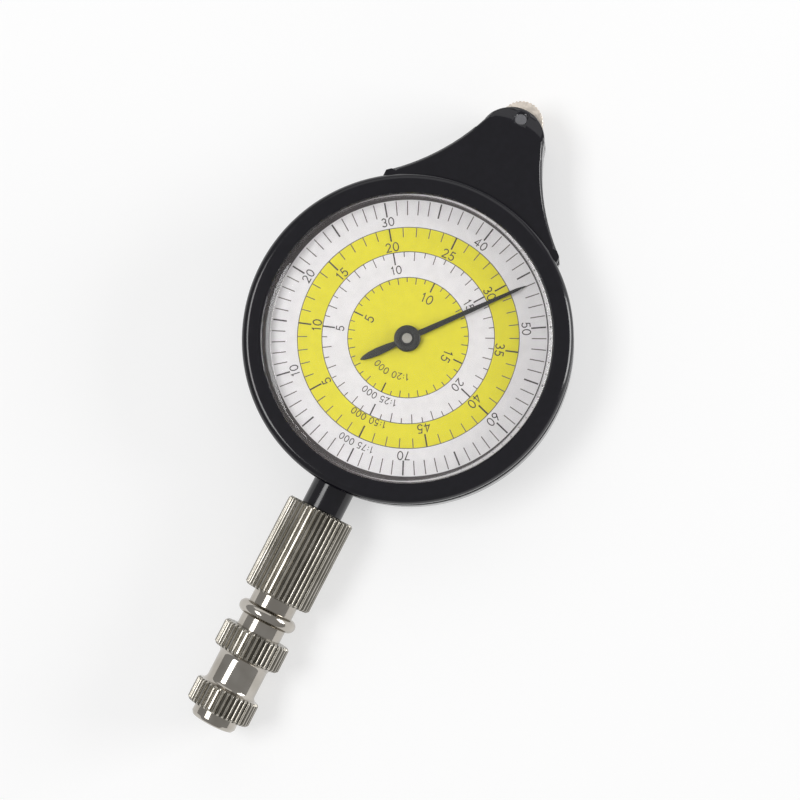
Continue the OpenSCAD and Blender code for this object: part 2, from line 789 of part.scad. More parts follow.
module hand() {
    color([0.09, 0.09, 0.1]) rotate(hand_angle) difference() {
        union() {
            translate([0, 0, hub_z]) cylinder(r = hub_r, h = hub_h);
            translate([0, 0, hand_z]) linear_extrude(hand_t) {
                polygon([[0, -hand_w / 2], [hand_len - 1, -hand_tip_w / 2], [hand_len, 0],
                         [hand_len - 1, hand_tip_w / 2], [0, hand_w / 2]]);
                polygon([[0, -hand_w / 2], [-tail_len * 0.6, -tail_w / 2], [-tail_len, -0.2],
                         [-tail_len, 0.2], [-tail_len * 0.6, tail_w / 2], [0, hand_w / 2]]);
            }
        }
        cylinder_from(0, bezel_top, hand_arbor_r + seat_fit);
    }
}

// ---- the handle ----

module handle_stem() {
    color(black_plastic) along_handle() {
        cylinder_from(cavity_r - nut_t - 2 * free_gap, stem_start + over, spigot_r);
        cylinder_from(stem_start, sleeve_start, stem_r);
        cylinder_from(sleeve_start - over, sleeve_start + stem_thread_len, sleeve_bore_r - seat_fit);
    }
}

module stem_nut() {
    corner_r = nut_flats / 2 / cos(30);
    color(nickel) along_handle() difference() {
        translate([0, 0, cavity_r - free_gap - nut_t]) cylinder(r = corner_r, h = nut_t, $fn = 6);
        cylinder_from(0, case_r, spigot_r + seat_fit);
    }
}

module handle_sleeve() {
    color(nickel) along_handle() difference() {
        knurl(grip_r, sleeve_start, sleeve_end);
        cylinder_from(0, sleeve_end + over, sleeve_bore_r);
    }
}

// Half of the tail's outline, between the knurls
module tail_profile() {
    bead_mid = sleeve_end + bead_at;
    polygon([[0, sleeve_end], [neck_r, sleeve_end], [neck_r, bead_mid - bead_rim_w / 2 - bead_slope],
             [bead_r, bead_mid - bead_rim_w / 2], [bead_r, bead_mid + bead_rim_w / 2],
             [neck_r, bead_mid + bead_rim_w / 2 + bead_slope], [neck_r, knurl_2_start + knurl_edge],
             [0, knurl_2_start + knurl_edge]]);
    difference() {
        translate([0, knurl_2_end - knurl_edge]) square([waist_r + waist_fillet, waist_len + 2 * knurl_edge]);
        translate([waist_r, knurl_2_end + waist_fillet])
            square([waist_fillet + over, waist_len - 2 * waist_fillet]);
        for (z = [knurl_2_end + waist_fillet, knurl_3_start - waist_fillet])
            translate([waist_r + waist_fillet, z]) circle(waist_fillet);
    }
    polygon([[0, knurl_3_end - knurl_edge], [button_r, knurl_3_end - knurl_edge],
             [button_r, handle_end - button_round], [button_r - button_round / 2, handle_end - button_round / 4],
             [button_r - 1.5 * button_round, handle_end], [0, handle_end]]);
}

module handle_tail() {
    color(nickel) along_handle() {
        cylinder_from(sleeve_end - tail_thread_len, sleeve_end + over, sleeve_bore_r - seat_fit);
        rotate_extrude() tail_profile();
        knurl(grip_r, knurl_2_start, knurl_2_end);
        knurl(knurl_3_r, knurl_3_start, knurl_3_end);
    }
}

back_shell();
front_shell();
bezel();
crystal();
dial();
hand();
centre_arbor();
centre_gear();
centre_bush();
second_arbor();
second_gear();
second_pinion();
first_arbor();
first_gear();
first_pinion();
tracing_wheel();
wheel_pinion();
wheel_axle();
wheel_washers();
back_plate();
front_plate();
plate_pillars();
pillar_screws();
plate_screws();
case_screws();
handle_stem();
stem_nut();
handle_sleeve();
handle_tail();
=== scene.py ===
"""Looks of the opisometer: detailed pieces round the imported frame, materials, stage, lights and camera."""
import math

import bpy
import bmesh
from mathutils import Matrix, Vector
from mathutils.bvhtree import BVHTree


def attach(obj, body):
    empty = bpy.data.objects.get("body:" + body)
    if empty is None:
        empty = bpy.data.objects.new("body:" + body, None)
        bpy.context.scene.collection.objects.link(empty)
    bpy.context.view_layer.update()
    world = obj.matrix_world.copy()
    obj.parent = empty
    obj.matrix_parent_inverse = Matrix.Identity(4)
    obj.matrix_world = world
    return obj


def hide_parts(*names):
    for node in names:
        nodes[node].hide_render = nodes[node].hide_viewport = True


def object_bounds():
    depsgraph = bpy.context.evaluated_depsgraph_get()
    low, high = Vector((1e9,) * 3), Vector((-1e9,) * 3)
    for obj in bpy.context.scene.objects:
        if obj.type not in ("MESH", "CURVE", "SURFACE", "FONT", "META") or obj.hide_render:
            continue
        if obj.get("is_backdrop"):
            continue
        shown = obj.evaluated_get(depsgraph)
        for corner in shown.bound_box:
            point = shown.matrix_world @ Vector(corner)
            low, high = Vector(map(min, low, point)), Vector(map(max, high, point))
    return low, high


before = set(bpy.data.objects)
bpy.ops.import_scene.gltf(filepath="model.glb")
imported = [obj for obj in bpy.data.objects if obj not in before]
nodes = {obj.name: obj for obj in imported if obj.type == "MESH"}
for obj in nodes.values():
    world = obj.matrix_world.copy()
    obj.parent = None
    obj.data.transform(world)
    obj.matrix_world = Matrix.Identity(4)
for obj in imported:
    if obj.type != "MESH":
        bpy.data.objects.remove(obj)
cad_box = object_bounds()

MM = 0.001

# Sizes of the CAD model, in millimetres
CASE_R = 26.8
PARTING_Z = 5.75
DECK_Z = 10.4
BEZEL_TOP = 12.0
BEZEL_ROUND = 1.3
WINDOW_R = 23.5
LIP_Z = 11.3
SKIRT_R = 24.9
SKIRT_INNER_R = 24.3
CRYSTAL_R = 24.2
CRYSTAL_FACE_R = 23.4
CRYSTAL_Z = 10.4
CRYSTAL_RIM = 0.6
DIAL_Z = 8.4
DIAL_TOP = 8.9
DIAL_R = 24.8
DIAL_HOLE_R = 1.15
HAND_ANGLE = 51.0
HAND_Z = 9.5
HAND_T = 0.25
HAND_LEN = 20.9
TAIL_LEN = 8.3
HUB_Z = 9.225
HUB_H = 0.8
HUB_R = 2.15
ARBOR_R = 0.8
WHEEL_Y = 40.1
WHEEL_Z = 4.2
WHEEL_TOP = 7.6
WHEEL_R = 3.5368
WHEEL_TEETH = 36
WHEEL_TOOTH = 0.2
AXLE_R = 0.6

# Sizes of the handle; a place along it is a distance from the hand's axis
SPIGOT_START = 43.0
SPIGOT_R = 2.39
SLEEVE_START = 31.0
SLEEVE_END = 46.9
SLEEVE_BORE_R = 2.4
GRIP_R = 5.75
NECK_R = 3.8
BEAD_R = 5.0
BEAD_AT = 50.15
BEAD_HALF = 1.15
KNURL_2_START = 53.4
KNURL_2_END = 57.8
WAIST_R = 4.25
FLARE = 0.9
KNURL_3_START = 63.6
KNURL_3_END = 67.7
KNURL_3_R = 5.5
BUTTON_R = 3.85
HANDLE_END = 69.8

# The knurls: how many flutes and how deep, the bevel at their ends, the steps in a pitch, the half width of a
# crest and the width of a slope in pitches, and the angle in degrees above which an edge is drawn sharp
FLUTES = 40
FLUTE_DEPTH = 0.32
KNURL_EDGE = 0.35
FLUTE_STEPS = 16
CREST = 0.16
SLOPE = 0.22
KNURL_SHARP = 24

# How the edges of the case are rounded: widths, the heights of the edges, and the y where a rounding starts
DECK_ROUND = 0.75
DECK_ROUND_FROM = 23.6
NOSE_ROUND = 0.25
NOSE_ROUND_FROM = 36.0
NOSE_LEVELS = (WHEEL_TOP + 1.2, DECK_Z - 0.05)
PARTING_ROUND = 0.20
BACK_ROUND = 0.22
BACK_LEVELS = (-0.01, 1.0)
LEVEL_SLACK = 0.01

# Which of those edges are left: near the axle's pin, and at the two roots of the snout
PIN_CLEAR = 2.7
ROOT_X = 14.3
ROOT_Y = (22.5, 23.8)

# What counts as a side wall and as an edge to round: rises of the faces' normals, and degrees between faces
WALL_RISE = 0.9
EDGE_RISE = 0.3
EDGE_ANGLE = 25
RAY_START = 0.02

# The crystal's upper face ends in a shallow slope and a steeper bevel
SLOPE_START = 21.9
SLOPE_DROP = 0.13
BEVEL_START = 22.95
BEVEL_DROP = 0.58

# Sizes of the dial's print and of a ring of painted shade at its edge, in millimetres
PRINT_SHIFT = (-0.045, 0.24)
PRINT_HOLE_R = DIAL_HOLE_R + 0.3
RING_RADII = (9.8, 14.0, 18.0)
LINE_W = 0.13
# Painted shade: a dark ring round the dial's edge, under the crystal's rim, where the crystal's edge looks
# dark
EDGE_SHADE_R = 22.36
EDGE_SHADE_END = 24.0
ZERO_DEG = -88.8
PRINT_START = DIAL_TOP - 0.01
PRINT_Z = DIAL_TOP + 0.008
INK_Z = DIAL_TOP + 0.016
INK_TOP = DIAL_TOP + 0.024
GLYPH_GAP = 0.13
RATIO_H = 1.15
RATIO_W = 0.14

# The tracing wheel: steps round a tooth, share of a tooth that its valley takes, bevel, gap at the axle
TOOTH_STEPS = 12
VALLEY = 0.7
WHEEL_BEVEL = 0.1
BEVEL_ROUND = 0.03
AXLE_GAP = 0.03

# Cleaning of the CAD meshes: points this close in metres are one, facets this flat in degrees are joined
WELD_GAP = 2e-6
FLAT_ANGLE = 0.1

# Edges above this angle in degrees are drawn sharp on new pieces, and rounded on the CAD nodes softened below
SHARP = 32

# Limits in the making of meshes: what counts as one point and as no edge in metres, what is on an axis in
# millimetres, and the share of a side that a rounding may take
SAME_POINT = 1e-8
NO_EDGE = 1e-9
ON_AXIS = 1e-6
SIDE_SHARE = 0.49


# ---- meshes ----

def link(name, mesh):
    """A new object in the scene."""
    piece = bpy.data.objects.new(name, mesh)
    bpy.context.scene.collection.objects.link(piece)
    return piece


def build(name, verts, faces, materials, body, replaces=(), face_slots=None, sharp=SHARP):
    """A mesh piece from points in millimetres, shaded smooth except at edges sharper than the angle given."""
    mesh = bpy.data.meshes.new(name)
    mesh.from_pydata([(x * MM, y * MM, z * MM) for x, y, z in verts], [], faces)
    for material in materials:
        mesh.materials.append(material)
    if face_slots:
        for poly, k in zip(mesh.polygons, face_slots):
            poly.material_index = k
    bm = bmesh.new()
    bm.from_mesh(mesh)
    bmesh.ops.remove_doubles(bm, verts=bm.verts, dist=SAME_POINT)
    bmesh.ops.dissolve_degenerate(bm, edges=bm.edges, dist=NO_EDGE)
    bmesh.ops.recalc_face_normals(bm, faces=bm.faces)
    bm.to_mesh(mesh)
    bm.free()
    mesh.shade_smooth()
    mesh.set_sharp_from_angle(angle=math.radians(sharp))
    piece = link(name, mesh)
    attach(piece, body)
    for node in replaces:
        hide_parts(node)
    return piece


def rounded(points, closed=True, steps=5):
    """The points (a, b) or (a, b, radius) with an arc at each that has a radius."""
    out = []
    count = len(points)
    for i, p in enumerate(points):
        if len(p) < 3 or (not closed and i in (0, count - 1)):
            out.append((p[0], p[1]))
            continue
        b = Vector(p[:2])
        before = Vector(points[i - 1][:2]) - b
        after = Vector(points[(i + 1) % count][:2]) - b
        half = before.angle(after) / 2
        cut = min(p[2] / math.tan(half), SIDE_SHARE * before.length, SIDE_SHARE * after.length)
        radius = cut * math.tan(half)
        middle = (before.normalized() + after.normalized()).normalized()
        centre = b + middle * radius / math.sin(half)
        start = b + before.normalized() * cut - centre
        end = b + after.normalized() * cut - centre
        a0 = math.atan2(start.y, start.x)
        turn = (math.atan2(end.y, end.x) - a0 + math.pi) % (2 * math.pi) - math.pi
        for k in range(steps + 1):
            a = a0 + turn * k / steps
            out.append((centre.x + radius * math.cos(a), centre.y + radius * math.sin(a)))
    return out


def upright(x, y, z):
    return (x, y, z)


def turned(name, profile, materials, body, replaces=(), count=192, cut=None, finish=None,
           place=upright, sharp=SHARP):
    """A turned piece.

    profile is a closed loop of (radius, height), or an open one whose ends are on the axis.
    cut(height) gives the section of a fluted outside, which is a radius for each step round, or None.
    finish(height, step) gives the number of a face's material.
    place(x, y, z) puts a point where it belongs.
    """
    open_ends = profile[0][0] < ON_AXIS and profile[-1][0] < ON_AXIS
    verts, rows, faces, slots = [], [], [], []
    for r, z in profile:
        if r < ON_AXIS:
            rows.append([len(verts)] * count)
            verts.append(place(0, 0, z))
            continue
        section = cut(z) if cut else None
        row = []
        for k in range(count):
            a = 2 * math.pi * k / count
            rr = min(r, section(k)) if section else r
            row.append(len(verts))
            verts.append(place(rr * math.cos(a), rr * math.sin(a), z))
        rows.append(row)
    last = len(profile) - 1 if open_ends else len(profile)
    for i in range(last):
        following = (i + 1) % len(profile)
        a, b = rows[i], rows[following]
        middle = (profile[i][1] + profile[following][1]) / 2
        for k in range(count):
            n = (k + 1) % count
            face = []
            for v in (a[k], a[n], b[n], b[k]):
                if v not in face:
                    face.append(v)
            if len(face) > 2:
                faces.append(face)
                slots.append(finish(middle, k) if finish else 0)
    return build(name, verts, faces, materials, body, replaces, slots, sharp)


def slab(outline, z0, z1, edge, verts, faces, steps=3):
    """Adds a flat solid with a rounded upper edge, from an anticlockwise outline."""
    count = len(outline)
    normals = []
    for i in range(count):
        (x0, y0), (x1, y1) = outline[i - 1], outline[(i + 1) % count]
        normals.append(Vector((y1 - y0, x0 - x1)).normalized())
    rings = [(0.0, z0), (0.0, z1 - edge)]
    rings += [(edge * (1 - math.cos(a)), z1 - edge + edge * math.sin(a))
              for a in (math.pi / 2 * k / steps for k in range(1, steps + 1))]
    base = len(verts)
    for inset, z in rings:
        for (x, y), d in zip(outline, normals):
            verts.append((x - d.x * inset, y - d.y * inset, z))
    for r in range(len(rings) - 1):
        for i in range(count):
            n = (i + 1) % count
            a, b = base + r * count, base + (r + 1) * count
            faces.append([a + i, a + n, b + n, b + i])
    faces.append([base + i for i in reversed(range(count))])
    top = base + (len(rings) - 1) * count
    faces.append([top + i for i in range(count)])


def weigh(piece):
    """Shades the piece smooth, with its flat faces kept flat."""
    even = piece.modifiers.new("even", "WEIGHTED_NORMAL")
    even.mode = "FACE_AREA"
    even.weight = 80
    piece.data.shade_smooth()


def walls(bm):
    """Numbers of the faces that stand up and have nothing before them."""
    tree = BVHTree.FromBMesh(bm)
    found = set()
    for face in bm.faces:
        begin = face.calc_center_median() + face.normal * RAY_START * MM
        if abs(face.normal.z) < WALL_RISE and tree.ray_cast(begin, face.normal)[0] is None:
            found.add(face.index)
    return found


def stays_sharp(x, y):
    """Whether an edge is near the axle's pin or at a root of the snout, where a rounding would be ragged."""
    at_the_pin = math.hypot(x, y - WHEEL_Y) < PIN_CLEAR
    at_the_root = abs(x) > ROOT_X and ROOT_Y[0] < y < ROOT_Y[1]
    return at_the_pin or at_the_root


def round_outside(bm, width, low, high, segments, start=-math.inf):
    """Rounds the outer edges between two heights and beyond a y, all in millimetres."""
    bm.normal_update()
    bm.faces.index_update()
    outside = walls(bm)
    edges = []
    for edge in bm.edges:
        middle = (edge.verts[0].co + edge.verts[1].co) / 2 / MM
        if len(edge.link_faces) != 2 or not low <= middle.z <= high or middle.y < start:
            continue
        if stays_sharp(middle.x, middle.y):
            continue
        a, b = edge.link_faces
        leans = abs(a.normal.z - b.normal.z) > EDGE_RISE
        turns = edge.calc_face_angle() > math.radians(EDGE_ANGLE)
        if leans and turns and (a.index in outside or b.index in outside):
            edges.append(edge)
    bmesh.ops.bevel(bm, geom=edges, offset=width * MM, offset_type="OFFSET", segments=segments, profile=0.5,
                    affect="EDGES", clamp_overlap=False)


def level(z):
    """The heights between which an edge at z is looked for."""
    return (z - LEVEL_SLACK, z + LEVEL_SLACK)


def shell(name, node, rounds):
    """A piece like a shell of the case in the CAD, whose outer edges are rounded."""
    bm = bmesh.new()
    bm.from_mesh(nodes[node].data)
    bmesh.ops.remove_doubles(bm, verts=bm.verts, dist=WELD_GAP)
    bmesh.ops.dissolve_limit(bm, angle_limit=math.radians(FLAT_ANGLE), verts=bm.verts, edges=bm.edges)
    bottom = min(vert.co.z for vert in bm.verts)
    top = max(vert.co.z for vert in bm.verts)
    for one in rounds:
        round_outside(bm, *one)
    for vert in bm.verts:
        vert.co.z = min(max(vert.co.z, bottom), top)
    mesh = bpy.data.meshes.new(name)
    bm.to_mesh(mesh)
    bm.free()
    mesh.materials.clear()
    mesh.materials.append(BLACK)
    piece = link(name, mesh)
    weigh(piece)
    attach(piece, "case")
    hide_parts(node)


def soften(node, width, segments=3):
    """Rounds the sharp edges of a CAD node without changing its mesh."""
    piece = nodes[node]
    weld = piece.modifiers.new("weld", "WELD")
    weld.merge_threshold = WELD_GAP
    flat = piece.modifiers.new("flat", "DECIMATE")
    flat.decimate_type = "DISSOLVE"
    flat.angle_limit = math.radians(FLAT_ANGLE)
    bevel = piece.modifiers.new("bevel", "BEVEL")
    bevel.width = width * MM
    bevel.segments = segments
    bevel.limit_method = "ANGLE"
    bevel.angle_limit = math.radians(SHARP)
    bevel.use_clamp_overlap = True
    weigh(piece)


# ---- materials ----

def new_material(name):
    mat = bpy.data.materials.new(name)
    mat.use_nodes = True
    tree = mat.node_tree
    return mat, tree, tree.nodes["Principled BSDF"]


def add(tree, kind, **values):
    """A shader node with the inputs or settings given by name."""
    node = tree.nodes.new(kind)
    for key, value in values.items():
        if key in node.inputs:
            node.inputs[key].default_value = value
        else:
            setattr(node, key, value)
    return node


def noise(tree, scale, detail=3.0):
    """A noise in the piece's own coordinates, with the number of its cells in a metre."""
    where = add(tree, "ShaderNodeTexCoord")
    n = add(tree, "ShaderNodeTexNoise", Scale=scale, Detail=detail, Roughness=0.55)
    tree.links.new(where.outputs["Object"], n.inputs["Vector"])
    return n.outputs["Fac"]


def ramp(tree, fac, stops):
    """A colour that changes between the stops (position, colour)."""
    node = add(tree, "ShaderNodeValToRGB")
    elements = node.color_ramp.elements
    while len(elements) < len(stops):
        elements.new(0.5)
    for element, (at, colour) in zip(elements, stops):
        element.position = at
        element.color = (*colour, 1.0)
    tree.links.new(fac, node.inputs["Fac"])
    return node.outputs["Color"]


def grey(v):
    return (v, v, v)


def spread(tree, fac, low, high):
    """A value between low and high, from a noise between about 0.3 and 0.7."""
    node = add(tree, "ShaderNodeMapRange")
    node.inputs["From Min"].default_value = 0.3
    node.inputs["From Max"].default_value = 0.7
    node.inputs["To Min"].default_value = low
    node.inputs["To Max"].default_value = high
    tree.links.new(fac, node.inputs["Value"])
    return node.outputs["Result"]


def bump(tree, bsdf, height, strength, distance):
    node = add(tree, "ShaderNodeBump", Strength=strength, Distance=distance)
    tree.links.new(height, node.inputs["Height"])
    tree.links.new(node.outputs["Normal"], bsdf.inputs["Normal"])


def tinted(tree, bsdf, fac, stops):
    tree.links.new(ramp(tree, fac, stops), bsdf.inputs["Base Color"])


def polished(tree, bsdf, fac, low, high):
    tree.links.new(spread(tree, fac, low, high), bsdf.inputs["Roughness"])


def gloss_black():
    mat, tree, bsdf = new_material("case_black")
    stops = [(0.35, (0.0046, 0.0042, 0.0072)), (0.7, (0.0068, 0.0062, 0.0102))]
    tinted(tree, bsdf, noise(tree, 900, 4), stops)
    polished(tree, bsdf, noise(tree, 260, 5), 0.10, 0.17)
    bsdf.inputs["IOR"].default_value = 1.5
    bump(tree, bsdf, noise(tree, 2600, 2), 0.03, 0.00003)
    return mat


def clear_acrylic(name, rough):
    """Clear acrylic, through which shadow rays pass almost whole."""
    mat, tree, bsdf = new_material(name)
    bsdf.inputs["Base Color"].default_value = (0.985, 0.99, 0.99, 1)
    bsdf.inputs["Transmission Weight"].default_value = 1.0
    bsdf.inputs["IOR"].default_value = 1.49
    polished(tree, bsdf, noise(tree, 150, 3), *rough)
    clear = add(tree, "ShaderNodeBsdfTransparent")
    clear.inputs["Color"].default_value = (0.95, 0.95, 0.95, 1)
    path = add(tree, "ShaderNodeLightPath")
    mix = add(tree, "ShaderNodeMixShader")
    tree.links.new(path.outputs["Is Shadow Ray"], mix.inputs["Fac"])
    tree.links.new(bsdf.outputs["BSDF"], mix.inputs[1])
    tree.links.new(clear.outputs["BSDF"], mix.inputs[2])
    tree.links.new(mix.outputs["Shader"], tree.nodes["Material Output"].inputs["Surface"])
    return mat


def printed(name, colour, vary=0.04):
    """A printed or painted colour that varies by a share of itself."""
    mat, tree, bsdf = new_material(name)
    low = tuple(c * (1 - vary) for c in colour)
    high = tuple(min(1.0, c * (1 + vary)) for c in colour)
    tinted(tree, bsdf, noise(tree, 700, 4), [(0.3, low), (0.7, high)])
    polished(tree, bsdf, noise(tree, 2500, 2), 0.45, 0.55)
    return mat


def satin_black():
    mat, tree, bsdf = new_material("hand_black")
    tinted(tree, bsdf, noise(tree, 3000, 3), [(0.3, grey(0.004)), (0.7, grey(0.007))])
    polished(tree, bsdf, noise(tree, 5000, 2), 0.36, 0.5)
    return mat


def metal(name, colour, rough, vary=0.06, scale=700, grime=0.0, bump_size=0.0):
    """A metal with uneven tint and polish, and grime in broad patches."""
    mat, tree, bsdf = new_material(name)
    low = tuple(c * (1 - vary - grime) for c in colour)
    high = tuple(min(1.0, c * (1 + vary)) for c in colour)
    tinted(tree, bsdf, noise(tree, scale, 4), [(0.32, low), (0.62, high)])
    bsdf.inputs["Metallic"].default_value = 1.0
    grain = noise(tree, scale * 2.4, 3)
    polished(tree, bsdf, grain, *rough)
    if bump_size:
        bump(tree, bsdf, grain, 0.25, bump_size)
    return mat


def nickel(name, low, high, rough):
    """Nickel plate with a slow change of tint and polish."""
    mat, tree, bsdf = new_material(name)
    bsdf.inputs["Metallic"].default_value = 1.0
    tinted(tree, bsdf, noise(tree, 260, 2), [(0.35, low), (0.65, high)])
    polished(tree, bsdf, noise(tree, 420, 2), *rough)
    return mat


BLACK = gloss_black()
CLEAR = clear_acrylic("crystal_clear", (0.0, 0.025))
CLEAR_GROUND = clear_acrylic("crystal_bevel", (0.12, 0.24))
WHITE = printed("dial_white", (0.725, 0.70, 0.712))
YELLOW = printed("dial_yellow", (0.69, 0.615, 0.008), vary=0.03)
INK = printed("dial_ink", (0.045, 0.035, 0.035), vary=0.2)
INK_THIN = printed("dial_ink_thin", (0.11, 0.09, 0.085), vary=0.2)
HAND_BLACK = satin_black()
STEEL = metal("arbor_steel", (0.36, 0.345, 0.31), (0.42, 0.55), scale=4000)
BRASS = metal("train_brass", (0.78, 0.60, 0.28), (0.25, 0.38))
WHEEL_METAL = metal("wheel_nickel", (0.84, 0.77, 0.69), (0.5, 0.64), vary=0.08, scale=1500, grime=0.08,
                    bump_size=0.00002)
AXLE_METAL = metal("axle_steel", (0.20, 0.20, 0.21), (0.42, 0.55), scale=3000)
NICKEL = nickel("nickel_polished", (0.43, 0.40, 0.355), (0.52, 0.49, 0.445), (0.07, 0.13))
# Painted shade: copies of the nickel for the knurls, the crest's in the nickel's own tone, darker on the
# slopes and darkest in the hollows
NICKEL_CREST = nickel("nickel_crest", (0.42, 0.395, 0.345), (0.54, 0.51, 0.46), (0.16, 0.26))
NICKEL_SLOPE_SHADE = nickel("nickel_slope_painted_shade", (0.25, 0.235, 0.20), (0.33, 0.31, 0.27), (0.22, 0.32))
NICKEL_HOLLOW_SHADE = nickel("nickel_hollow_painted_shade", (0.085, 0.078, 0.066), (0.14, 0.13, 0.11), (0.34, 0.46))
NICKELS = [NICKEL, NICKEL_CREST, NICKEL_SLOPE_SHADE, NICKEL_HOLLOW_SHADE]
SCREW_METAL = metal("screw_steel", (0.55, 0.56, 0.58), (0.28, 0.42), scale=2500)

NODE_MATERIALS = {
    BLACK: ("back_shell", "front_shell", "bezel", "handle_stem"),
    CLEAR: ("crystal",),
    WHITE: ("dial",),
    HAND_BLACK: ("hand",),
    STEEL: ("centre_arbor", "second_arbor", "first_arbor"),
    BRASS: ("centre_gear", "centre_bush", "second_gear", "second_pinion", "first_gear", "first_pinion",
            "wheel_pinion", "back_plate", "front_plate", "plate_pillars"),
    WHEEL_METAL: ("tracing_wheel",),
    AXLE_METAL: ("wheel_axle", "wheel_washers"),
    SCREW_METAL: ("pillar_screws", "plate_screws", "case_screws"),
    NICKEL: ("stem_nut", "handle_sleeve", "handle_tail"),
}


def dress_nodes():
    """Gives each CAD node its material."""
    for material, names in NODE_MATERIALS.items():
        for name in names:
            mesh = nodes[name].data
            mesh.materials.clear()
            mesh.materials.append(material)


# ---- case ----

def case_shells():
    parting = (PARTING_ROUND, *level(PARTING_Z), 3)
    shell("front_case", "front_shell", ((DECK_ROUND, *level(DECK_Z), 5, DECK_ROUND_FROM),
                                        (NOSE_ROUND, *NOSE_LEVELS, 3, NOSE_ROUND_FROM), parting))
    shell("back_case", "back_shell", ((BACK_ROUND, *BACK_LEVELS, 3), parting))


def bezel():
    foot = 0.06
    shoulder = [(CASE_R - BEZEL_ROUND * (1 - math.cos(math.radians(a))),
                 BEZEL_TOP - BEZEL_ROUND * (1 - math.sin(math.radians(a)))) for a in range(0, 91, 6)]
    profile = rounded([
        (SKIRT_INNER_R, DIAL_TOP), (SKIRT_R, DIAL_TOP), (SKIRT_R, DECK_Z), (CASE_R - foot, DECK_Z),
        (CASE_R, DECK_Z + foot), *shoulder, (WINDOW_R, BEZEL_TOP, 0.16),
        (WINDOW_R, LIP_Z), (SKIRT_INNER_R, LIP_Z)], steps=6)
    turned("bezel_ring", profile, [BLACK], "case", ["bezel"], count=320)


def crystal():
    inner_r = CRYSTAL_R - CRYSTAL_RIM
    slope_z = BEZEL_TOP - SLOPE_DROP
    bevel_z = BEZEL_TOP - BEVEL_DROP
    profile = rounded([
        (0, CRYSTAL_Z), (inner_r, CRYSTAL_Z, 0.1), (inner_r, DIAL_TOP), (CRYSTAL_R, DIAL_TOP),
        (CRYSTAL_R, LIP_Z), (CRYSTAL_FACE_R, LIP_Z), (CRYSTAL_FACE_R, bevel_z, 0.05),
        (BEVEL_START, slope_z, 0.9), (SLOPE_START, BEZEL_TOP, 1.8), (0, BEZEL_TOP)],
        closed=False, steps=8)
    turned("crystal_window", profile, [CLEAR, CLEAR_GROUND], "case", ["crystal"], count=512,
           finish=lambda z, k: 1 if bevel_z < z < slope_z else 0)


def dial_plate():
    profile = [(DIAL_HOLE_R, DIAL_Z), (DIAL_R, DIAL_Z), (DIAL_R, DIAL_TOP), (DIAL_HOLE_R, DIAL_TOP)]
    turned("dial_plate", profile, [WHITE], "case", ["dial"])


# ---- the dial's print, and painted shade at its edge ----

def arc(cx, cy, rx, ry, start, end, steps=14):
    return [(cx + rx * math.cos(math.radians(start + (end - start) * k / steps)),
             cy + ry * math.sin(math.radians(start + (end - start) * k / steps))) for k in range(steps + 1)]


# Strokes of a plain light numeral, one unit high
GLYPHS = {
    "0": (0.68, [arc(0.34, 0.5, 0.27, 0.44, 0, 360, 28)]),
    "1": (0.46, [[(0.12, 0.78), (0.28, 0.94), (0.28, 0.06)]]),
    "2": (0.62, [arc(0.31, 0.70, 0.23, 0.24, 165, -38, 14) + [(0.08, 0.07), (0.56, 0.07)]]),
    "3": (0.60, [arc(0.29, 0.715, 0.21, 0.225, 150, -90, 12), arc(0.29, 0.28, 0.24, 0.22, 90, -150, 12)]),
    "4": (0.64, [[(0.43, 0.06), (0.43, 0.92), (0.06, 0.27), (0.60, 0.27)]]),
    "5": (0.62, [[(0.52, 0.93), (0.19, 0.93), (0.13, 0.53)] + arc(0.30, 0.33, 0.25, 0.27, 118, -150, 14)]),
    "6": (0.64, [arc(0.33, 0.30, 0.24, 0.24, 0, 360, 22), [(0.43, 0.94), (0.12, 0.42)]]),
    "7": (0.58, [[(0.06, 0.93), (0.52, 0.93), (0.20, 0.06)]]),
    ":": (0.30, [[(0.15, 0.24), (0.15, 0.32)], [(0.15, 0.60), (0.15, 0.68)]]),
    " ": (0.32, []),
}

# The four scales from the outside inwards. A turn has so many units, each split into so many parts.
# start has the radii where a fifth, a whole and a half tick begin, and end is where they all end.
# numbers has the step between two numbers, their radius, their height and the width of their strokes.
SCALES = (
    {"units": 75, "split": 1, "start": (19.95, 20.0, 20.0), "end": 22.2, "fine": 0.165, "bold": 0.25,
     "numbers": (10, 18.42, 1.5, 0.175), "ratio": "1:75 000", "ratio_r": 18.55},
    {"units": 50, "split": 1, "start": (15.9, 16.4, 16.4), "end": RING_RADII[2], "fine": 0.15, "bold": 0.25,
     "numbers": (5, 14.2, 1.55, 0.18), "ratio": "1:50 000", "ratio_r": 14.1},
    {"units": 25, "split": 2, "start": (12.0, 12.5, 13.15), "end": RING_RADII[1], "fine": 0.15, "bold": 0.23,
     "numbers": (5, 10.45, 1.4, 0.17), "ratio": "1:25 000", "ratio_r": 10.25},
    {"units": 20, "split": 2, "start": (8.15, 8.7, 9.05), "end": RING_RADII[0], "fine": 0.15, "bold": 0.23,
     "numbers": (5, 6.2, 1.6, 0.18), "ratio": "1:20 000", "ratio_r": 5.85},
)


def ring(r0, r1, z0, z1, verts, faces, count=240):
    base = len(verts)
    for r, z in ((r0, z0), (r1, z0), (r1, z1), (r0, z1)):
        for k in range(count):
            a = 2 * math.pi * k / count
            verts.append((PRINT_SHIFT[0] + r * math.cos(a), PRINT_SHIFT[1] + r * math.sin(a), z))
    for s in range(4):
        for k in range(count):
            n = (k + 1) % count
            a, b = base + s * count, base + (s + 1) % 4 * count
            faces.append([a + k, a + n, b + n, b + k])


def on_dial(angle, across, out):
    """A point of the print: angle clockwise from zero in degrees, then across to the right and outwards."""
    t = math.radians(ZERO_DEG - angle)
    c, s = math.cos(t), math.sin(t)
    return (PRINT_SHIFT[0] + out * c + across * s, PRINT_SHIFT[1] + out * s - across * c)


